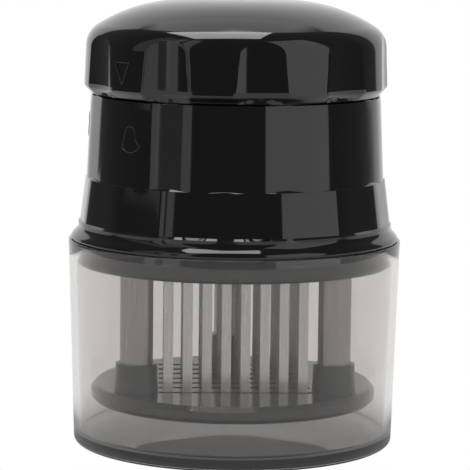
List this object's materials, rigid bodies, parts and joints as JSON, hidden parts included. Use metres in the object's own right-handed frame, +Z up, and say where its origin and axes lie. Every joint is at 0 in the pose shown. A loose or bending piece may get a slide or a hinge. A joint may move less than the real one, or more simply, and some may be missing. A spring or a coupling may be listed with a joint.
{
  "type": "blade meat tenderizer",
  "caption": "Press-down meat tenderizer: blades drop through a sprung round guard plate under a moulded black grip with a twist-off cap, over a smoke-clear cover cup.",
  "frame": {"origin": "on the surface under the cover cup, on the tool's axis", "axes": "+Z up along the tool's axis, away from the blades; -Y towards the pictured front"},
  "size_m": [0.1, 0.1, 0.1339],
  "materials": {
    "black_gloss": "polished moulded black plastic",
    "black_satin": "moulded black plastic, satin",
    "guard_plastic": "dark moulded plastic, semi-gloss",
    "smoke_clear": "smoke-grey clear moulded plastic",
    "blade_steel": "stamped stainless strip",
    "tube_steel": "brushed stainless tube",
    "spring_steel": "drawn spring wire",
    "screw_steel": "zinc-plated screw"
  },
  "bodies": {
    "housing": {"grip_shell": "black_gloss", "base_plate": "black_satin", "base_screws": "screw_steel", "guide_bolts": "screw_steel", "stop_nuts": "screw_steel", "return_spring_left": "spring_steel", "return_spring_rear": "spring_steel", "return_spring_right": "spring_steel"},
    "guard": {"guard_plate": "guard_plastic", "guide_tube_left": "tube_steel", "guide_tube_rear": "tube_steel", "guide_tube_right": "tube_steel"},
    "cartridge": {"blade_carrier": "black_satin", "blade_clamp_plate": "black_satin", "clamp_screws": "screw_steel", "blade_row_1": "blade_steel", "blade_row_2": "blade_steel", "blade_row_3": "blade_steel", "blade_row_4": "blade_steel", "blade_row_5": "blade_steel", "blade_row_6": "blade_steel", "blade_row_7": "blade_steel"},
    "cap": {"twist_cap": "black_gloss", "lock_ring": "black_satin", "ring_screws": "screw_steel"},
    "cup": {"cover_cup": "smoke_clear"}
  },
  "joints": [
    {"name": "guard_press", "type": "slide", "parent": "housing", "child": "guard", "axis": [0, 0, 1], "range_m": [0, 0.027], "stiffness_N_per_m": 600, "springref_m": -0.02, "deforming": ["return_spring_left", "return_spring_rear", "return_spring_right"]},
    {"name": "cartridge_lift", "type": "slide", "parent": "housing", "child": "cartridge", "axis": [0, 0, 1], "range_m": [0, 0.1]},
    {"name": "cap_twist", "type": "hinge", "parent": "cartridge", "child": "cap", "pos_m": [0, 0, 0.11], "axis": [0, 0, 1], "range_deg": [-45, 0]},
    {"name": "cup_pull", "type": "slide", "parent": "housing", "child": "cup", "axis": [0, 0, -1], "range_m": [0, 0.065]}
  ]
}
